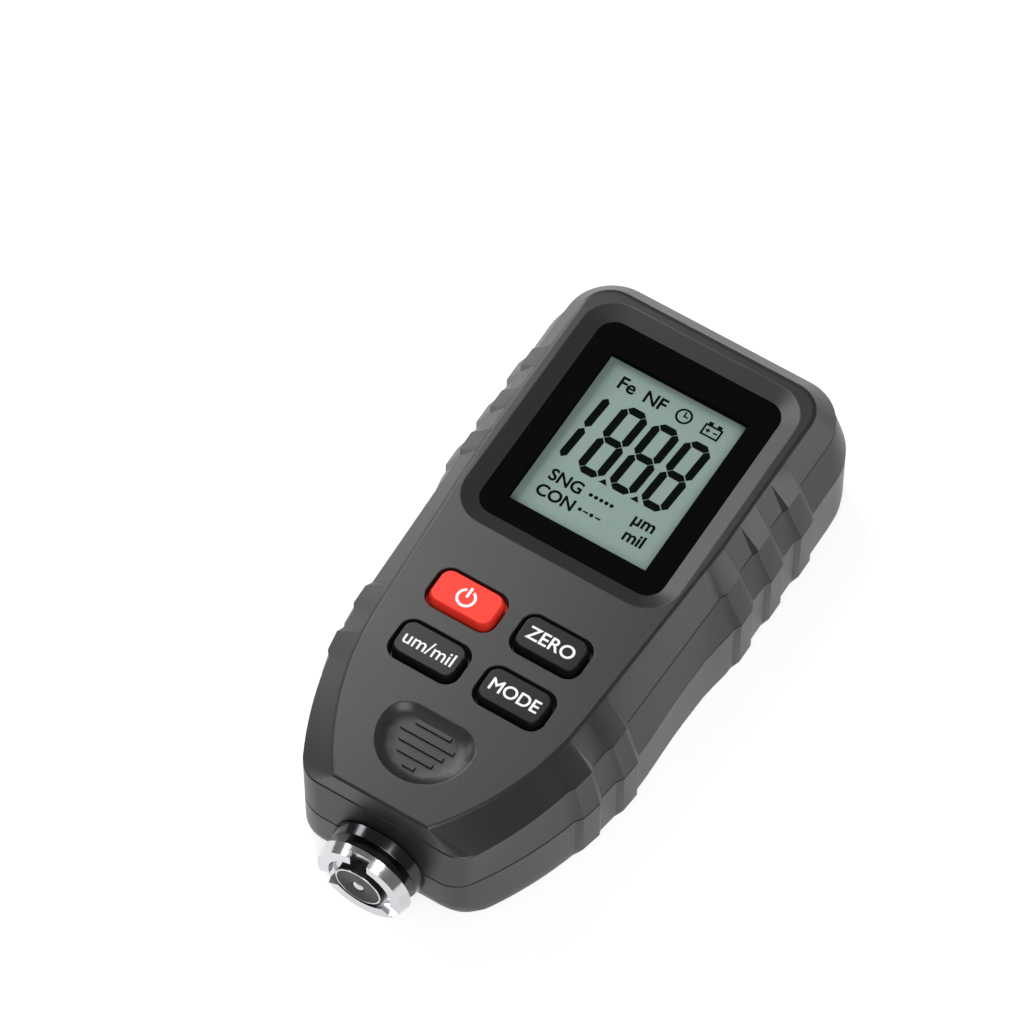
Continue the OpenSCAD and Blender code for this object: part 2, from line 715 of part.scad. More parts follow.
// Coil spring along +Z, wound as one tube
helix_sides = 6;
helix_seg = 12;
module helix(r0, r1, h, turns, wire) {
    n = turns * helix_seg;
    function centre(i) = let (t = i / n, a = 360 * turns * t, r = r0 + (r1 - r0) * t)
        [r * cos(a), r * sin(a), wire + (h - 2 * wire) * t];
    function section(i) = let (t = i / n, a = 360 * turns * t)
        [for (s = [0:helix_sides - 1]) let (b = 360 * s / helix_sides)
            centre(i) + wire * [cos(b) * cos(a), cos(b) * sin(a), sin(b)]];
    loft_tube([for (i = [0:n]) section(i)]);
}
module loft_tube(rings) {
    n = len(rings[0]);
    m = len(rings);
    polyhedron(
        points = [for (r = rings, p = r) p],
        faces = concat(
            [[for (i = [n - 1:-1:0]) i]],
            [for (k = [0:m - 2], i = [0:n - 1]) let (j = (i + 1) % n)
                each [
                    [k * n + i, (k + 1) * n + j, (k + 1) * n + i],
                    [k * n + i, k * n + j, (k + 1) * n + j]]],
            [[for (i = [0:n - 1]) (m - 1) * n + i]]));
}
spring_wire = 0.35;
spring_y0 = flange_y + flange_l;
module probe_spring() {
    color("#c9ccd0") translate([0, spring_y0 + seat_gap, probe_h]) rotate([-90, 0, 0])
        helix(neck_r - 0.6, neck_r - 0.6, holder_y1 - wall - spring_y0 - 2 * seat_gap, 3, spring_wire);
}
holder_r = flange_r + 1.4;
holder_gap = 0.3;
holder_y0 = sleeve_y - 0.6;
module probe_holder() {
    color("#2e3033") difference() {
        union() {
            on_probe_axis(holder_y1) cylinder(r = holder_r, h = holder_y1 - holder_y0);
            translate([-holder_r + 1, holder_y0, wall])
                cube([2 * holder_r - 2, holder_y1 - holder_y0, probe_h - wall]);
        }
        on_probe_axis(holder_y1 - wall) cylinder(r = flange_r + holder_gap, h = holder_y1 - holder_y0);
        on_probe_axis(holder_y1 + 1) cylinder(r = coil_r - 1, h = wall + 2);
        translate([-holder_r - 1, holder_y0 - 1, 0])
            cube([2 * holder_r + 2, holder_y1 - holder_y0 + 2, wall]);
    }
}

// Batteries lie side by side, head to tail, between sprung contacts
cell_y = (bay_y0 + bay_y1) / 2;
module cell(x, way) {
    translate([x, cell_y, cell_z]) rotate([-90 * way, 0, 0]) translate([0, 0, -(cell_l + cell_nub) / 2]) {
        cylinder(r = cell_r, h = cell_l);
        translate([0, 0, cell_l - eps]) cylinder(r = 1.9, h = cell_nub + eps);
    }
}
module left_battery() {
    color("#8c9196") cell(-cell_x, 1);
}
module right_battery() {
    color("#8c9196") cell(cell_x, -1);
}
contact_w = 8;
contact_h = 9;
cell_end = (cell_l + cell_nub) / 2;
module contact_plate(x, y) {
    translate([x - contact_w / 2, y - contact_t / 2, cell_z - contact_h / 2])
        cube([contact_w, contact_t, contact_h]);
}
coil_h = contact_room / 2;
module contact_coil(x, side) {
    translate([x, cell_y + side * (cell_end + coil_h + seat_gap), cell_z]) rotate([90 * side, 0, 0])
        helix(3, 1.6, coil_h, 2, 0.3);
}
module bridge_contact() {
    color("#c8cace") {
        translate([-cell_x - contact_w / 2, bay_y0, cell_z - contact_h / 2])
            cube([2 * cell_x + contact_w, contact_t, contact_h]);
        contact_coil(-cell_x, -1);
    }
}
module positive_contact() {
    color("#c8cace") contact_plate(-cell_x, bay_y1 - contact_t / 2);
}
module negative_contact() {
    color("#c8cace") {
        contact_plate(cell_x, bay_y1 - contact_t / 2);
        contact_coil(cell_x, 1);
    }
}

module screw(head_r, head_t, shank_r, shank_l) {
    difference() {
        union() {
            translate([0, 0, -head_t]) cylinder(r = head_r, h = head_t);
            translate([0, 0, -eps]) cylinder(r = shank_r, h = shank_l + eps);
        }
        for (a = [0, 90]) rotate(a) translate([-head_r * 0.6, -head_t / 6, -head_t - eps])
            cube([head_r * 1.2, head_t / 3, head_t / 2]);
    }
}
module case_screws() {
    color("#9a9da1") for (p = case_places) translate([p[0], p[1], case_seat_z])
        screw(case_head_r, case_head_t, case_shank_r, case_tip_z - case_seat_z);
}
module board_screws() {
    color("#9a9da1") for (p = board_places) translate([p[0], p[1], board_z])
        screw(board_head_r, board_head_t, board_shank_r, board_tip_z - board_z);
}

front_shell();
rear_shell();
battery_door();
display_lens();
lcd_panel();
lcd_holder();
lcd_connectors();
circuit_board();
processor();
switch_bodies();
power_key();
unit_key();
zero_key();
mode_key();
power_plunger();
unit_plunger();
zero_plunger();
mode_plunger();
probe_collar();
probe_clip();
probe_neck();
probe_ring();
probe_tip();
probe_pin();
probe_core();
probe_coil();
probe_spring();
probe_holder();
left_battery();
right_battery();
bridge_contact();
positive_contact();
negative_contact();
case_screws();
board_screws();
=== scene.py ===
# %% [markdown]
# # A coating thickness gauge, dressed for a studio picture
#
# The gauge already exists as a CAD part: thirty-five solids that fit together and move. CAD
# solids come across as flat facets with one colour each. This notebook keeps every solid where
# it is and gives the part what a photograph would show: soft moulded edges, grained plastic,
# turned metal, a display full of signs and printed key marks.
#
# All sizes are in metres, because that is the frame's unit. `MM` turns a millimetre into it, and
# `mm` does so for several numbers at once.

import math

import bmesh
import bpy
from mathutils import Matrix, Vector


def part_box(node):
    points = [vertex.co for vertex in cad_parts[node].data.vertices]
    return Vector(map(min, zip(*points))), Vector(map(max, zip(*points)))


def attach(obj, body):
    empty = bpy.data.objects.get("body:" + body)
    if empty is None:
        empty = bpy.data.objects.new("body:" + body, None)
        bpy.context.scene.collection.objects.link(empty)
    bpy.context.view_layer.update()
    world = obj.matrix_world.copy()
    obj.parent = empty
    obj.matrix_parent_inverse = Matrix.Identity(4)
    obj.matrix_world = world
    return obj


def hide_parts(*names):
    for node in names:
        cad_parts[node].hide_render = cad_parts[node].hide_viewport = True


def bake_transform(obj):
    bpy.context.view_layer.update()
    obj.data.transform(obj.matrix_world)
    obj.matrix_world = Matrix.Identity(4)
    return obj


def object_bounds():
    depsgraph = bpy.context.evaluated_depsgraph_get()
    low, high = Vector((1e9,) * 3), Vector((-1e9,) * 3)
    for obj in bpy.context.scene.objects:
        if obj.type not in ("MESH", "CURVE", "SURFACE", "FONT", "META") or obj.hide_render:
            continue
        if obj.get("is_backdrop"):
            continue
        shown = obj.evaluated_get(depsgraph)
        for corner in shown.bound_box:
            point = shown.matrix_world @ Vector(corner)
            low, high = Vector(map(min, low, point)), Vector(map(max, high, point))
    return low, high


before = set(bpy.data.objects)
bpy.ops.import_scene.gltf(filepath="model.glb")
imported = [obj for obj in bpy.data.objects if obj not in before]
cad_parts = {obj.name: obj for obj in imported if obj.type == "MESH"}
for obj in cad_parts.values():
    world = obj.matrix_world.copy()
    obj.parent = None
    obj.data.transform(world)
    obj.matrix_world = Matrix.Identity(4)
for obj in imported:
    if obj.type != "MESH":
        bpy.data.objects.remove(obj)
cad_low, cad_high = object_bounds()
MM = 0.001


def mm(*values):
    return [value * MM for value in values]


def in_mm(values):
    return [round(value / MM, 2) for value in values]


print("box of the part:", in_mm(cad_low), in_mm(cad_high), "mm")

# %% [markdown]
# ## Two ways to finish a piece
#
# `add_mesh` turns a finished bmesh into an object that rides on one of the moving bodies. A piece
# that stretches between two bodies gives no body here.
#
# `soften` is for moulded pieces whose form is already right. It copies the CAD mesh, welds the
# corner points that the facets do not share, marks the true edges as sharp and shades the rest
# smooth. Some true edges are shallow, such as the rim of a bezel, so the heights in `rims` get a
# finer limit. Normals are weighted by area, so that wide flat faces stay flat right up to their
# rounded borders. The alternative, modelling the same housing again by hand, would only risk a
# form that no longer matches the part.

# %% Helpers for pieces
weld = 0.004 * MM
sliver = 0.002 * MM
rim_reach = 0.02 * MM
rim_angle = math.radians(12)


def add_mesh(name, bm, body, material, replaces=()):
    mesh = bpy.data.meshes.new(name)
    bm.to_mesh(mesh)
    bm.free()
    obj = bpy.data.objects.new(name, mesh)
    bpy.context.collection.objects.link(obj)
    mesh.materials.append(material)
    if body:
        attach(obj, body)
    if replaces:
        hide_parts(*replaces)
    return obj


def mark_smooth(bm, angle, rims=()):
    for face in bm.faces:
        face.smooth = True
    for edge in bm.edges:
        on_rim = any(all(abs(v.co.z - z) < rim_reach for v in edge.verts) for z in rims)
        limit = rim_angle if on_rim else math.radians(angle)
        edge.smooth = len(edge.link_faces) == 2 and edge.calc_face_angle(0) < limit


def weight_normals(obj):
    modifier = obj.modifiers.new("weights", "WEIGHTED_NORMAL")
    modifier.keep_sharp = True
    modifier.weight = 80
    graph = bpy.context.evaluated_depsgraph_get()
    mesh = bpy.data.meshes.new_from_object(obj.evaluated_get(graph))
    obj.modifiers.remove(modifier)
    obj.data = mesh


def soften(node, body, material, angle, change=None, rims=()):
    bm = bmesh.new()
    bm.from_mesh(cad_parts[node].data)
    bmesh.ops.remove_doubles(bm, verts=bm.verts, dist=weld)
    bmesh.ops.dissolve_degenerate(bm, edges=bm.edges, dist=sliver)
    if change:
        change(bm)
    mark_smooth(bm, angle, rims)
    obj = add_mesh("soft_" + node, bm, body, material, [node])
    weight_normals(obj)
    print(node, "softened:", len(obj.data.polygons), "faces")
    return obj


print("points closer than", weld / MM, "mm are welded")

# %% [markdown]
# ## Materials from nodes
#
# No surface here is one flat colour. Moulded plastic has a spark-eroded grain from its tool, so
# it gets a fine noise in the bump and a slow one in the roughness. Bright metal gets the same
# with a coarser, much flatter grain. An image would do as well, but it would need a layout for
# every piece. All patterns use Object coordinates, which for these pieces are simply metres.

# %% Helpers for materials
def new_material(name, color, roughness, metallic=0.0):
    material = bpy.data.materials.new(name)
    material.use_nodes = True
    shader = material.node_tree.nodes["Principled BSDF"]
    shader.inputs["Base Color"].default_value = (*color, 1)
    shader.inputs["Roughness"].default_value = roughness
    shader.inputs["Metallic"].default_value = metallic
    return material, material.node_tree, shader


def noise(tree, scale):
    where = tree.nodes.new("ShaderNodeTexCoord")
    texture = tree.nodes.new("ShaderNodeTexNoise")
    texture.inputs["Scale"].default_value = scale
    tree.links.new(where.outputs["Object"], texture.inputs["Vector"])
    return texture.outputs["Fac"]


def vary_color(tree, shader, low, high, scale):
    ramp = tree.nodes.new("ShaderNodeValToRGB")
    stops = ramp.color_ramp.elements
    stops[0].position, stops[1].position = 0.3, 0.7
    stops[0].color, stops[1].color = (*low, 1), (*high, 1)
    tree.links.new(noise(tree, scale), ramp.inputs["Fac"])
    tree.links.new(ramp.outputs["Color"], shader.inputs["Base Color"])


def vary_roughness(tree, shader, low, high, scale):
    spread = tree.nodes.new("ShaderNodeMapRange")
    spread.inputs["To Min"].default_value = low
    spread.inputs["To Max"].default_value = high
    tree.links.new(noise(tree, scale), spread.inputs["Value"])
    tree.links.new(spread.outputs["Result"], shader.inputs["Roughness"])


def grain(tree, shader, scale, strength, depth):
    bump = tree.nodes.new("ShaderNodeBump")
    bump.inputs["Strength"].default_value = strength
    bump.inputs["Distance"].default_value = depth
    tree.links.new(noise(tree, scale), bump.inputs["Height"])
    tree.links.new(bump.outputs["Normal"], shader.inputs["Normal"])


part_length = cad_high[1] - cad_low[1]
print("a scale of 1000 gives about", round(1000 * part_length), "specks along the part")


# %% [markdown]
# Two recipes cover all the finishes. `plastic` takes a colour, a pair of roughness limits and how
# fine, how strong and how glossy the grain is. `metal` only takes a colour and the limits.

# %% Recipes for plastic and metal
plastic_patches = 60
plastic_depth = 0.03 * MM
metal_patches = 300
metal_grain = 900
metal_depth = 0.01 * MM


def plastic(name, color, rough, fine=3500, strength=0.25, spread=0.12, gloss=0.5):
    material, tree, shader = new_material(name, color, rough[0])
    shader.inputs["Specular IOR Level"].default_value = gloss
    low = [c * (1 - spread) for c in color]
    high = [c * (1 + spread) for c in color]
    vary_color(tree, shader, low, high, fine * 0.6)
    vary_roughness(tree, shader, *rough, plastic_patches)
    grain(tree, shader, fine, strength, plastic_depth)
    return material


def metal(name, color, rough):
    material, tree, shader = new_material(name, color, rough[0], 1.0)
    vary_color(tree, shader, [c * 0.94 for c in color], color, metal_grain)
    vary_roughness(tree, shader, *rough, metal_patches)
    grain(tree, shader, metal_grain, 0.05, metal_depth)
    return material


housing = plastic("housing", (0.014, 0.0142, 0.0146), (0.36, 0.42), strength=0.2, gloss=0.44)
black_plastic = plastic(
    "black_plastic", (0.008, 0.008, 0.009), (0.35, 0.5), fine=2500, strength=0.2, gloss=0.3)
black_rubber = plastic(
    "black_rubber", (0.006, 0.0062, 0.0066), (0.26, 0.32), fine=2500, strength=0.1, gloss=0.2)
red_rubber = plastic(
    "red_rubber", (0.84, 0.038, 0.022), (0.36, 0.46),
    fine=2500, strength=0.1, spread=0.04, gloss=0.2)
white_plastic = plastic("white_plastic", (0.7, 0.7, 0.67), (0.4, 0.5))
pink_rubber = plastic("pink_rubber", (0.62, 0.4, 0.38), (0.5, 0.6))
board = plastic("board", (0.015, 0.14, 0.05), (0.25, 0.35), fine=1500)
battery_paint = plastic("battery_paint", (0.3, 0.31, 0.33), (0.3, 0.4), fine=1200, strength=0.05)
ferrite = plastic("ferrite", (0.07, 0.07, 0.075), (0.6, 0.7), fine=2000)
white_ink = plastic(
    "white_ink", (0.82, 0.82, 0.82), (0.5, 0.6), fine=2500, strength=0.05, spread=0.03)
lcd_ink = plastic("lcd_ink", (0.004, 0.005, 0.005), (0.5, 0.6), fine=2500, strength=0.05, gloss=0)
lcd_glass = plastic(
    "lcd_glass", (0.238, 0.308, 0.283), (0.3, 0.36),
    fine=1500, strength=0.02, spread=0.02, gloss=0)
chrome = metal("chrome", (0.62, 0.62, 0.64), (0.1, 0.18))
# The collar's chrome is darkened in colour: painted shade for the dark surroundings it mirrors.
chrome_painted_dark = metal("chrome_painted_dark", (0.055, 0.055, 0.058), (0.14, 0.2))
steel = metal("steel", (0.6, 0.61, 0.63), (0.22, 0.34))
copper = metal("copper", (0.6, 0.24, 0.1), (0.3, 0.4))
print("materials:", len(bpy.data.materials))

# %% [markdown]
# ## The lens
#
# The lens is one sheet of clear acrylic. It is printed black on the back, all but a rectangle
# over the display. One solid therefore needs two materials, and the border between them is a
# straight line in Object coordinates, so a few math nodes can draw it. Cutting the mesh along
# that line would work too, but the nodes leave the CAD solid whole.

# %% Lens material
low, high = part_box("lcd_panel")
display_y = (low.y + high.y) / 2
lens_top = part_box("display_lens")[1].z
window_half = mm(12.58, 15.5)
window_y = display_y + 0.2 * MM


def calculate(tree, operation, *values):
    node = tree.nodes.new("ShaderNodeMath")
    node.operation = operation
    for socket, value in zip(node.inputs, values):
        if isinstance(value, bpy.types.NodeSocket):
            tree.links.new(value, socket)
        else:
            socket.default_value = value
    return node.outputs[0]


def inside(tree, place, centre, half):
    away = calculate(tree, "ABSOLUTE", calculate(tree, "SUBTRACT", place, centre))
    return calculate(tree, "LESS_THAN", away, half)


def make_lens():
    material, tree, print_black = new_material("lens", (0.003, 0.003, 0.0035), 0.12)
    print_black.inputs["Specular IOR Level"].default_value = 0
    vary_roughness(tree, print_black, 0.1, 0.14, 200)
    where = tree.nodes.new("ShaderNodeTexCoord")
    axes = tree.nodes.new("ShaderNodeSeparateXYZ")
    tree.links.new(where.outputs["Object"], axes.inputs[0])
    across = inside(tree, axes.outputs["X"], 0, window_half[0])
    along = inside(tree, axes.outputs["Y"], window_y, window_half[1])
    clear = tree.nodes.new("ShaderNodeBsdfTransparent")
    clear.inputs["Color"].default_value = (0.97, 0.98, 0.97, 1)
    mix = tree.nodes.new("ShaderNodeMixShader")
    tree.links.new(calculate(tree, "MULTIPLY", across, along), mix.inputs["Fac"])
    tree.links.new(print_black.outputs[0], mix.inputs[1])
    tree.links.new(clear.outputs[0], mix.inputs[2])
    tree.links.new(mix.outputs[0], tree.nodes["Material Output"].inputs["Surface"])
    return material


lens = make_lens()
print("lens window:", in_mm(2 * half for half in window_half), "mm")

# %% [markdown]
# ## Materials for the solids that stay as they are
#
# Inner parts and plain boxes need no new mesh. They only take a material.

# %% Dress the plain solids
plain = {
    "display_lens": lens, "lcd_panel": lcd_glass, "lcd_holder": white_plastic,
    "lcd_connectors": pink_rubber, "circuit_board": board, "processor": black_plastic,
    "switch_bodies": black_plastic, "power_plunger": black_plastic, "unit_plunger": black_plastic,
    "zero_plunger": black_plastic, "mode_plunger": black_plastic, "probe_clip": steel,
    "probe_core": ferrite, "probe_coil": copper, "probe_holder": black_plastic,
    "left_battery": battery_paint, "right_battery": battery_paint, "bridge_contact": steel,
    "positive_contact": steel, "negative_contact": steel, "case_screws": steel,
    "board_screws": steel,
}
for name, material in plain.items():
    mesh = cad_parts[name].data
    mesh.materials.clear()
    mesh.materials.append(material)
print("plain solids dressed:", len(plain))

# %% [markdown]
# ## The housing
#
# The two shells and the battery door come out of moulds, so their outlines are already in the
# CAD solids: flutes for the fingers, a scooped waist, a sloping shoulder. They only need soft
# shading and the grained plastic. No mould leaves a knife edge, so every rim of the flat face is
# broken by a small bevel that catches a thin line of light. The flat triangles of the face are
# joined first, because a bevel runs cleanly only between whole faces. The seat of the lens stays
# crisp.

# %% Soften the housing
face_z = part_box("front_shell")[1].z
face_reach = 0.01 * MM
flat_angle = math.radians(0.5)
rim_bevel = 0.2 * MM
housing_angle = 24


def face_edges(bm):
    return [e for e in bm.edges if len(e.link_faces) == 2
            and all(abs(v.co.z - face_z) < face_reach for v in e.verts)]


def break_rims(bm):
    flat = [e for e in face_edges(bm) if e.calc_face_angle(0) < flat_angle]
    bmesh.ops.dissolve_limit(bm, angle_limit=flat_angle, edges=flat, verts=[])
    rims = [e for e in face_edges(bm) if e.calc_face_angle(0) > rim_angle]
    bmesh.ops.bevel(bm, geom=rims, offset=rim_bevel, offset_type="OFFSET", affect="EDGES",
                    segments=3, profile=0.5, material=-1, clamp_overlap=True)
    open_edges = [e for e in bm.edges if len(e.link_faces) != 2]
    print("rim edges broken:", len(rims), "open edges:", len(open_edges))


soften("front_shell", "housing", housing, housing_angle, break_rims, rims=(lens_top,))
soften("rear_shell", "housing", housing, housing_angle)
soften("battery_door", "door", housing, housing_angle)

# %% [markdown]
# ## The keys
#
# Each key is a soft rubber cap on a hidden flange and stem. The CAD key is right up to the face,
# but its crown is a coarse dome. On the real key the top is flat and only its border is round.
# So the copy is cut just above the face, its open rim is extruded to the full height, drawn in a
# little as a mould needs, and filled, and the new top border is bevelled. A little height is kept
# back for the printed mark.

# %% Shape the keys
key_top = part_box("power_key")[1].z
key_cut = face_z + 0.15 * MM
mark_room = 0.03 * MM
draft = 0.32 * MM
crown_bevel = 0.66 * MM
seam = 0.001 * MM


def flat_top(bm):
    bmesh.ops.bisect_plane(bm, geom=bm.verts[:] + bm.edges[:] + bm.faces[:], dist=seam,
                           plane_co=(0, 0, key_cut), plane_no=(0, 0, 1), clear_outer=True)
    rim = [e for e in bm.edges if e.is_boundary]
    raised = bmesh.ops.extrude_edge_only(bm, edges=rim)["geom"]
    verts = [g for g in raised if isinstance(g, bmesh.types.BMVert)]
    bmesh.ops.translate(bm, verts=verts, vec=(0, 0, key_top - mark_room - key_cut))
    middle = sum((v.co for v in verts), Vector()) / len(verts)
    half = [max(abs(v.co[i] - middle[i]) for v in verts) for i in (0, 1)]
    bmesh.ops.scale(bm, verts=verts, vec=(1 - draft / half[0], 1 - draft / half[1], 1),
                    space=Matrix.Translation(-middle))
    border = [g for g in raised if isinstance(g, bmesh.types.BMEdge)]
    bmesh.ops.contextual_create(bm, geom=border)
    bmesh.ops.bevel(bm, geom=border, offset=crown_bevel, offset_type="OFFSET", affect="EDGES",
                    segments=6, profile=0.5, material=-1, clamp_overlap=True)
    bmesh.ops.remove_doubles(bm, verts=bm.verts, dist=3 * seam)
    bmesh.ops.recalc_face_normals(bm, faces=bm.faces)


keys = {"power": red_rubber, "unit": black_rubber, "zero": black_rubber, "mode": black_rubber}
key_centre = {}
for name, material in keys.items():
    low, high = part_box(name + "_key")
    key_centre[name] = ((low.x + high.x) / 2, (low.y + high.y) / 2)
    soften(name + "_key", name, material, 40, flat_top)

# %% [markdown]
# ## Printed marks
#
# Marks are a thin film of ink. Words start as text curves, which are turned into mesh and scaled
# to the height of their capitals. The font is light, so `thicken` pushes the outline of each
# letter outwards. An image of the marks would be quicker, but it blurs when the camera comes
# close. All shapes are drawn flat, and `print_at` gives them the thickness of ink and lays them
# at their height.

# %% Helpers for words
ink = 0.012 * MM
font_capital = 0.69
sharpest_corner = 0.5


def thicken(bm, amount):
    moves = {}
    for vert in bm.verts:
        sides = []
        for edge in vert.link_edges:
            if edge.is_boundary:
                along = edge.verts[1].co - edge.verts[0].co
                side = along.cross(Vector((0, 0, 1))).normalized()
                inner = edge.link_faces[0].calc_center_median() - edge.verts[0].co
                sides.append(-side if side.dot(inner) > 0 else side)
        if len(sides) == 2:
            out = (sides[0] + sides[1]).normalized()
            moves[vert] = out * amount / max(out.dot(sides[0]), sharpest_corner)
    for vert, move in moves.items():
        vert.co += move


def word(bm, text, centre, height, weight):
    curve = bpy.data.curves.new("word", "FONT")
    curve.body = text
    curve.align_x = "CENTER"
    obj = bpy.data.objects.new("word", curve)
    bpy.context.collection.objects.link(obj)
    bpy.context.view_layer.update()
    graph = bpy.context.evaluated_depsgraph_get()
    mesh = bpy.data.meshes.new_from_object(obj.evaluated_get(graph))
    scale = height / font_capital
    place = Matrix.Translation((centre[0], centre[1] - height / 2, 0))
    mesh.transform(place @ Matrix.Diagonal((scale, scale, 0, 1)))
    letters = bmesh.new()
    letters.from_mesh(mesh)
    bmesh.ops.remove_doubles(letters, verts=letters.verts, dist=seam)
    thicken(letters, weight)
    letters.to_mesh(mesh)
    letters.free()
    bm.from_mesh(mesh)
    bpy.data.objects.remove(obj)
    bpy.data.curves.remove(curve)
    bpy.data.meshes.remove(mesh)


def print_at(bm, top):
    bmesh.ops.remove_doubles(bm, verts=bm.verts, dist=seam)
    bm.normal_update()
    bmesh.ops.reverse_faces(bm, faces=[face for face in bm.faces if face.normal.z < 0])
    bmesh.ops.solidify(bm, geom=bm.faces[:], thickness=ink)
    bmesh.ops.recalc_face_normals(bm, faces=bm.faces)
    highest = max(v.co.z for v in bm.verts)
    bmesh.ops.translate(bm, verts=bm.verts, vec=(0, 0, top - highest))


print("ink is", ink / MM, "mm thick")


# %% [markdown]
# Signs are built from a few flat forms: any outline, a dot, an arc made of quads, a bar, and the
# line round a box, which is a bar with its middle taken out.

# %% Helpers for signs
def shape(bm, points):
    return bm.faces.new([bm.verts.new((x, y, 0)) for x, y in points])


def dot(bm, centre, radius):
    bmesh.ops.create_circle(bm, cap_ends=True, radius=radius, segments=16,
                            matrix=Matrix.Translation((*centre, 0)))


def arc(bm, centre, radius, width, start, end, steps=40):
    rows = []
    for i in range(steps + 1):
        a = math.radians(start + (end - start) * i / steps)
        rows.append([bm.verts.new((centre[0] + r * math.cos(a), centre[1] + r * math.sin(a), 0))
                     for r in (radius - width / 2, radius + width / 2)])
    for near, far in zip(rows, rows[1:]):
        bm.faces.new([near[0], near[1], far[1], far[0]])


def bar(bm, centre, size):
    x, y, w, h = *centre, size[0] / 2, size[1] / 2
    return shape(bm, [(x - w, y - h), (x + w, y - h), (x + w, y + h), (x - w, y + h)])


def box_line(bm, centre, size, width):
    hole = bar(bm, centre, size)
    hole.normal_update()
    bmesh.ops.inset_region(bm, faces=[hole], thickness=width,
                           use_boundary=True, use_even_offset=True)
    bmesh.ops.delete(bm, geom=[hole], context="FACES_ONLY")


print("forms for signs:", [form.__name__ for form in (shape, dot, arc, bar, box_line)])

# %% [markdown]
# One key has the on and off sign, which is an open ring and a bar. The others carry words. Each
# mark rides on the body of its key, so that it sinks when the key is pressed.

# %% Marks on the keys
mark_z = key_top - 0.012 * MM
power_stroke = 0.44 * MM
bm = bmesh.new()
x, y = key_centre["power"]
arc(bm, (x, y - 0.2 * MM), 1.45 * MM, power_stroke, 115, 425)
bar(bm, (x, y + 0.85 * MM), (power_stroke, 1.9 * MM))
print_at(bm, mark_z)
add_mesh("power_mark", bm, "power", white_ink)

for name, text, height, weight in (
    ("unit", "um/mil", 2.3, 0.02), ("zero", "ZERO", 2.25, 0.045), ("mode", "MODE", 2.15, 0.045),
):
    bm = bmesh.new()
    word(bm, text, key_centre[name], height * MM, weight * MM)
    print_at(bm, mark_z)
    add_mesh(name + "_mark", bm, name, white_ink)
print("marked keys:", sorted(keys))

# %% [markdown]
# ## The display
#
# A liquid crystal display shows black shapes on a grey-green mirror. Every segment is a bar with
# pointed ends, so one function draws a digit and the number is four calls. Everything is drawn
# flat round the middle of the display and then lifted onto the glass in one move.

# %% Digits and words on the display
segment_width = 1.36 * MM
segment_gap = 0.09 * MM
digit_base, digit_height, digit_width, digit_lean = mm(-3.8, 13.1, 3.5, 0.9)
segment_ends = {
    "a": ((0, 1), (1, 1)), "b": ((1, 1), (1, 0.5)), "c": ((1, 0.5), (1, 0)),
    "d": ((0, 0), (1, 0)), "e": ((0, 0.5), (0, 0)), "f": ((0, 1), (0, 0.5)),
    "g": ((0, 0.5), (1, 0.5)),
}


def segment(bm, start, end):
    along = (end - start).normalized()
    side = Vector((-along.y, along.x)) * segment_width / 2
    start, end = start + along * segment_gap, end - along * segment_gap
    tip = along * segment_width / 2
    shape(bm, [start, start + tip - side, end - tip - side,
               end, end - tip + side, start + tip + side])


def digit(bm, x, shown):
    for name in shown:
        start, end = [
            Vector((x + u * digit_width + v * digit_lean, digit_base + v * digit_height))
            for u, v in segment_ends[name]]
        segment(bm, start, end)


bm = bmesh.new()
digit(bm, -13.55 * MM, "bc")
for x in (-6.6, -0.8, 5.0):
    digit(bm, x * MM, "abcdefg")
for x in (-1.85, 3.97):
    shape(bm, [mm(x - 0.75, -4.5), mm(x + 0.75, -4.5), mm(x, -3.5)])
for text, x, y, height in (
    ("Fe", -7.9, 12.9, 2.3), ("NF", -2.7, 12.8, 2.2), ("SNG", -6.8, -7.1, 2.1),
    ("CON", -6.8, -10.4, 2.05), ("µm", 7.5, -7.1, 2.15), ("mil", 7.55, -10.3, 2.15),
):
    word(bm, text, mm(x, y), height * MM, 0.08 * MM)
print("digits and words drawn:", len(bm.faces), "faces")

# %% [markdown]
# The small signs come last: a clock, a battery, five dots for single readings and a row of dots
# and dashes for continuous ones.

# %% Signs on the display
clock_hands = (
    (2.46, 12.61), (3.3, 12.61), (3.3, 12.89), (2.74, 12.89), (2.74, 13.65), (2.46, 13.65))
battery_plus = (
    (6.7, 12.41), (6.96, 12.41), (6.96, 12.15), (7.24, 12.15), (7.24, 12.41), (7.5, 12.41),
    (7.5, 12.69), (7.24, 12.69), (7.24, 12.95), (6.96, 12.95), (6.96, 12.69), (6.7, 12.69))
battery_bars = ((6.95, 13.94, 0.8, 0.54), (8.55, 13.94, 0.8, 0.54), (8.4, 12.55, 0.75, 0.28))
dot_radius = 0.34 * MM

arc(bm, mm(2.6, 12.75), 1.25 * MM, 0.36 * MM, 0, 360)
box_line(bm, mm(7.75, 12.55), mm(3.2, 2.24), 0.34 * MM)
for x, y, w, h in battery_bars:
    bar(bm, mm(x, y), mm(w, h))
for outline in (clock_hands, battery_plus):
    shape(bm, [mm(x, y) for x, y in outline])
for i in range(5):
    dot(bm, mm(-2.3 + i * 0.95, -7.2), dot_radius)
for i in range(2):
    dot(bm, mm(-2.4 + i * 2.1, -10.3), dot_radius)
    bar(bm, mm(-1.35 + i * 2.2, -10.3), mm(0.95, 0.28))
lcd_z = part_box("lcd_panel")[1].z + 0.02 * MM
bmesh.ops.translate(bm, verts=bm.verts, vec=(0, display_y, 0))
print_at(bm, lcd_z)
add_mesh("lcd_segments", bm, "housing", lcd_ink)
print("display drawn at", round(lcd_z / MM, 2), "mm")

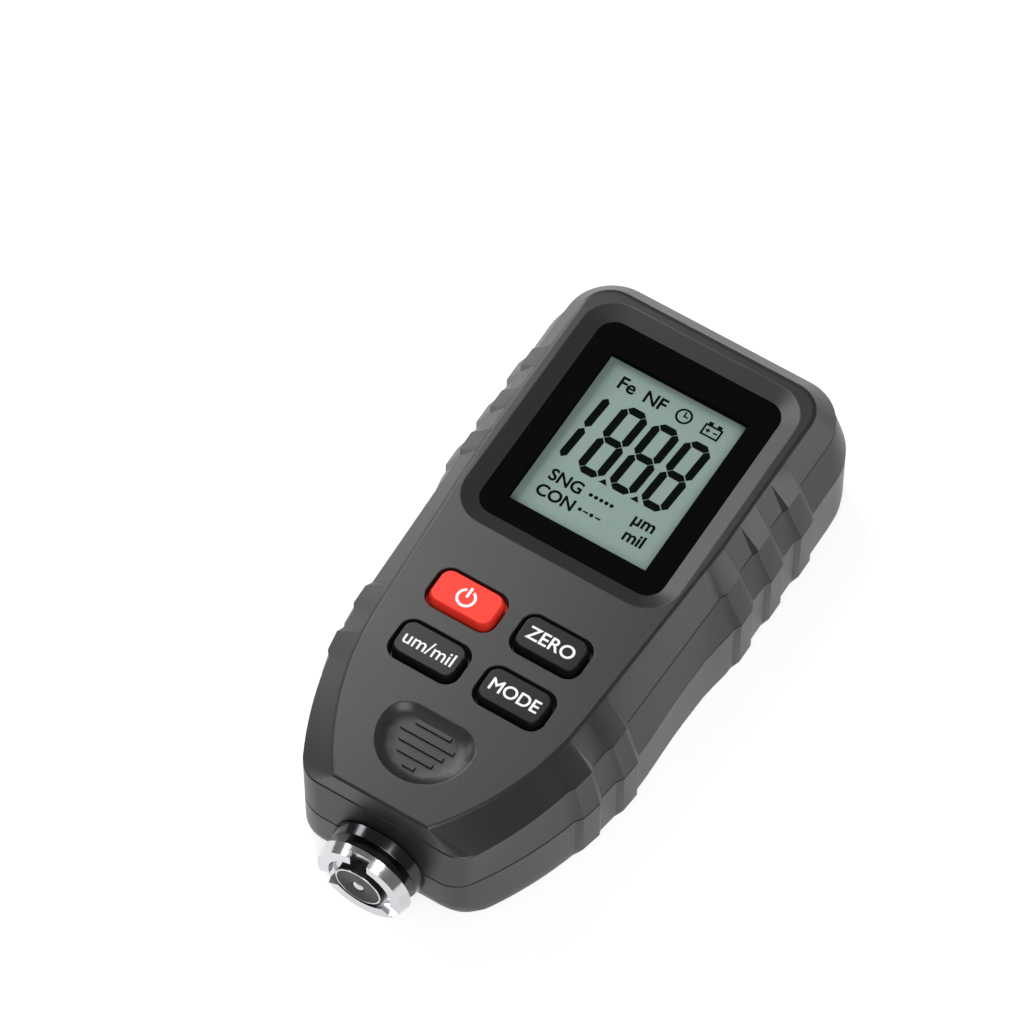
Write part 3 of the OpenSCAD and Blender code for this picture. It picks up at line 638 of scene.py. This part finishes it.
# %% [markdown]
# ## The probe
#
# Collar, neck, tip and pin are turned on a lathe, so they are spun here from half profiles.
# Each profile is a list of distances along the axis and radii. The sharp corners are broken by
# a small bevel, as a lathe hand would do with a file, because bare corners catch no light. A
# profile that starts on the axis stays open there, because the axis itself is no wall.

# %% Helpers for turned pieces
pin_low, pin_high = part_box("probe_pin")
axis_z = (pin_low.z + pin_high.z) / 2
turning_steps = 96
corner_angle = math.radians(40)


def turned(profile):
    bm = bmesh.new()
    verts = [bm.verts.new((r, y, axis_z)) for y, r in profile]
    on_axis = profile[0][1] == 0
    line = verts if on_axis else verts + verts[:1]
    edges = [bm.edges.new(pair) for pair in zip(line, line[1:])]
    bmesh.ops.spin(bm, geom=verts + edges, cent=(0, 0, axis_z), axis=(0, 1, 0), angle=math.tau,
                   steps=turning_steps, use_merge=True)
    bmesh.ops.remove_doubles(bm, verts=bm.verts, dist=seam)
    bmesh.ops.recalc_face_normals(bm, faces=bm.faces)
    return bm


def turn_piece(node, profile, body, material, bevel):
    bm = turned(profile)
    corners = [e for e in bm.edges
               if len(e.link_faces) == 2 and e.calc_face_angle(0) > corner_angle]
    bmesh.ops.bevel(bm, geom=corners, offset=bevel, offset_type="OFFSET", affect="EDGES",
                    segments=2, profile=0.5, material=-1, clamp_overlap=True)
    mark_smooth(bm, 35)
    obj = add_mesh("turned_" + node, bm, body, material, [node])
    weight_normals(obj)
    print(node, "turned:", len(obj.data.polygons), "faces")
    return obj


def span(node):
    low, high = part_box(node)
    return low.y, high.y, (high.x - low.x) / 2


print("probe axis at", round(axis_z / MM, 2), "mm")

# %% [markdown]
# The collar is fixed in the end wall of the housing, and the neck slides in its bore, so they
# ride on different bodies. Sizes that the box of a node does not tell are named here.

# %% Collar and neck
front, rear, radius = span("probe_collar")
collar_seat = front + 1.9 * MM
collar_bore, collar_sleeve, collar_taper = mm(5.65, 6.3, 0.5)
# The collar takes the chrome with painted shade, darkened for the dark surroundings it mirrors.
turn_piece("probe_collar", [
    (front, collar_bore), (front, radius - collar_taper), (collar_seat, radius),
    (collar_seat, collar_sleeve), (rear, collar_sleeve), (rear, collar_bore),
], "housing", chrome_painted_dark, 0.12 * MM)

front, rear, radius = span("probe_neck")
neck_bore, neck_barrel, neck_flange = mm(3.25, 5.6, 1.6)
turn_piece("probe_neck", [
    (front, neck_bore), (front, neck_barrel), (rear - neck_flange, neck_barrel),
    (rear - neck_flange, radius), (rear, radius), (rear, neck_bore),
], "probe", black_plastic, 0.12 * MM)

# %% [markdown]
# The tip is dark, with a bright rim round its front. The rim is part of the same turning, so its
# faces simply take a second material. The pin in its middle ends in a round nose.

# %% Tip and pin
front, rear, radius = span("probe_tip")
tip_bore, tip_recess, tip_round = mm(1.15, 0.12, 0.1)
tip = turn_piece("probe_tip", [
    (front + tip_recess, tip_bore), (front + tip_recess, radius - 0.3 * MM),
    (front, radius - 0.2 * MM), (front + tip_round, radius), (rear, radius), (rear, tip_bore),
], "probe", black_plastic, 0.05 * MM)
tip.data.materials.append(chrome)
rim_width, rim_length = mm(0.28, 0.5)
for face in tip.data.polygons:
    from_axis = face.center - Vector((0, face.center.y, axis_z))
    if face.center.y < front + rim_length and from_axis.length > radius - rim_width:
        face.material_index = 1

front, rear, radius = span("probe_pin")
nose_length = 0.6 * MM
nose_angles = [math.radians(15 * i) for i in range(7)]
nose = [(front + nose_length * (1 - math.cos(a)), radius * math.sin(a)) for a in nose_angles]
turn_piece("probe_pin", nose + [(rear, radius), (rear, 0)], "probe", steel, 0.08 * MM)

# %% [markdown]
# The notched ring is not a plain turning, since three slots are milled across its front. Its
# CAD solid already has them, so it is softened as the housing is.

# %% Notched ring
soften("probe_ring", "probe", chrome, 30)

# %% [markdown]
# The return spring sits between the holder, which stands still, and the neck, which slides. If it
# rode on the neck, it would be pushed through the holder. So it is given no body here, and its
# place is baked into its mesh.

# %% Return spring
spring = soften("probe_spring", None, steel, 40)
low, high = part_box("probe_spring")
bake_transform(spring)
print("spring length:", round((high.y - low.y) / MM, 2), "mm")

# %% [markdown]
# ## Floor and world
#
# A product like this is shot on white paper. The paper here is grey to the lamps, so that little
# light bounces back into the shadows. It glows white only for rays that see it directly, in a
# mirror or through glass, and it keeps the shadow of the gauge. Paper that is white to the lamps
# too would wash out the dark sides. The world is a dim, even fill.

# %% Floor and world
floor_half = 3
floor_z = -0.05 * MM
paper_glow = 0.72
world_fill = 0.22


def seen_directly(tree):
    path = tree.nodes.new("ShaderNodeLightPath")
    mirror = calculate(
        tree, "MAXIMUM", path.outputs["Is Camera Ray"], path.outputs["Is Glossy Ray"])
    return calculate(tree, "MAXIMUM", mirror, path.outputs["Is Transmission Ray"])


bm = bmesh.new()
bmesh.ops.create_grid(bm, x_segments=1, y_segments=1, size=floor_half)
bmesh.ops.translate(bm, verts=bm.verts, vec=(0, 0, floor_z))
mesh = bpy.data.meshes.new("floor")
bm.to_mesh(mesh)
bm.free()
floor = bpy.data.objects.new("floor", mesh)
bpy.context.collection.objects.link(floor)
paper, tree, shader = new_material("paper", (0.4, 0.4, 0.4), 0.9)
shader.inputs["Specular IOR Level"].default_value = 0
vary_color(tree, shader, (0.39, 0.39, 0.39), (0.41, 0.41, 0.41), 40)
glow = tree.nodes.new("ShaderNodeMapRange")
glow.inputs["To Max"].default_value = paper_glow
tree.links.new(seen_directly(tree), glow.inputs["Value"])
tree.links.new(glow.outputs["Result"], shader.inputs["Emission Strength"])
shader.inputs["Emission Color"].default_value = (1, 1, 1, 1)
mesh.materials.append(paper)
floor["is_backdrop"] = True

world = bpy.data.worlds.new("studio")
bpy.context.scene.world = world
world.use_nodes = True
background = world.node_tree.nodes["Background"]
background.inputs["Color"].default_value = (1, 1, 1, 1)
background.inputs["Strength"].default_value = world_fill
print("floor at", floor_z / MM, "mm, world at", world_fill)


# %% [markdown]
# ## Lights
#
# Dark plastic shows its form only by its gloss, so each lamp is a soft box placed where one
# surface mirrors it. The key light hangs close above the left side and lays a gradient on the
# face. The left one finds the slope of the bezel, the right one lifts the flutes, the probe light
# draws a streak on the collar and the front one fills. One large lamp would light everything, but
# it would leave the face and the slopes in the same grey.

# %% Lights
def soft_box(name, place, target, size, power):
    light = bpy.data.lights.new(name, "AREA")
    light.shape = "RECTANGLE"
    light.size, light.size_y = size
    light.energy = power
    obj = bpy.data.objects.new(name, light)
    bpy.context.collection.objects.link(obj)
    obj.location = place
    obj.rotation_euler = (Vector(target) - Vector(place)).to_track_quat("-Z", "Y").to_euler()
    obj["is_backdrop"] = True


soft_box("key_light", (-0.14, 0.09, 0.25), (0, 0, 0.02), (0.12, 0.12), 0.4)
soft_box("left_light", (-0.38, 0.23, 0.17), (0, 0.02, 0.02), (0.1, 0.26), 0.6)
soft_box("right_light", (0.36, 0.24, 0.06), (0.02, 0.02, 0.015), (0.24, 0.08), 0.5)
soft_box("probe_light", (-0.32, -0.045, 0.25), (0, -0.05, 0.01), (0.1, 0.1), 0.3)
soft_box("front_light", (0.35, -0.45, 0.7), (0, 0, 0), (0.5, 0.5), 5)

# %% [markdown]
# ## Camera
#
# The camera stands at the right of the probe and looks down on the face. A long lens far away
# keeps the sides nearly parallel. The picture is 1024 pixels wide, and the middle of the display
# has to fall on one known pixel, so the camera aims beside it by that many pixels.

# %% Camera
azimuth, elevation = math.radians(32.08), math.radians(59.86)
picture = 1024
focal, distance = 6649, 1.0395
display_pixel = (627.75, 461.28)
sensor = 36

right = Vector((math.cos(azimuth), math.sin(azimuth), 0))
level = Vector((math.sin(azimuth), -math.cos(azimuth), 0))
back = level * math.cos(elevation) + Vector((0, 0, math.sin(elevation)))
up = back.cross(right)
aside, down = [(pixel - picture / 2) * distance / focal for pixel in display_pixel]
aim = Vector((0, display_y, lens_top)) - right * aside + up * down
camera = bpy.data.cameras.new("camera")
camera.sensor_width = sensor
camera.lens = focal / picture * sensor
camera_obj = bpy.data.objects.new("camera", camera)
bpy.context.collection.objects.link(camera_obj)
turn = Matrix((right, up, back)).transposed().to_4x4()
camera_obj.matrix_world = Matrix.Translation(aim + back * distance) @ turn
bpy.context.scene.camera = camera_obj
bpy.context.scene.view_settings.view_transform = "Standard"
print("camera lens:", round(camera.lens, 1), "mm")

# %% [markdown]
# ## Sizes and finish
#
# The box of the dressed part is printed, beside the box of the CAD part printed at the start.
# The dressed part has to stay inside the box of the CAD part.

# %% Sizes and finish
low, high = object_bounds()
print("visual box:", in_mm(low), in_mm(high), "mm")
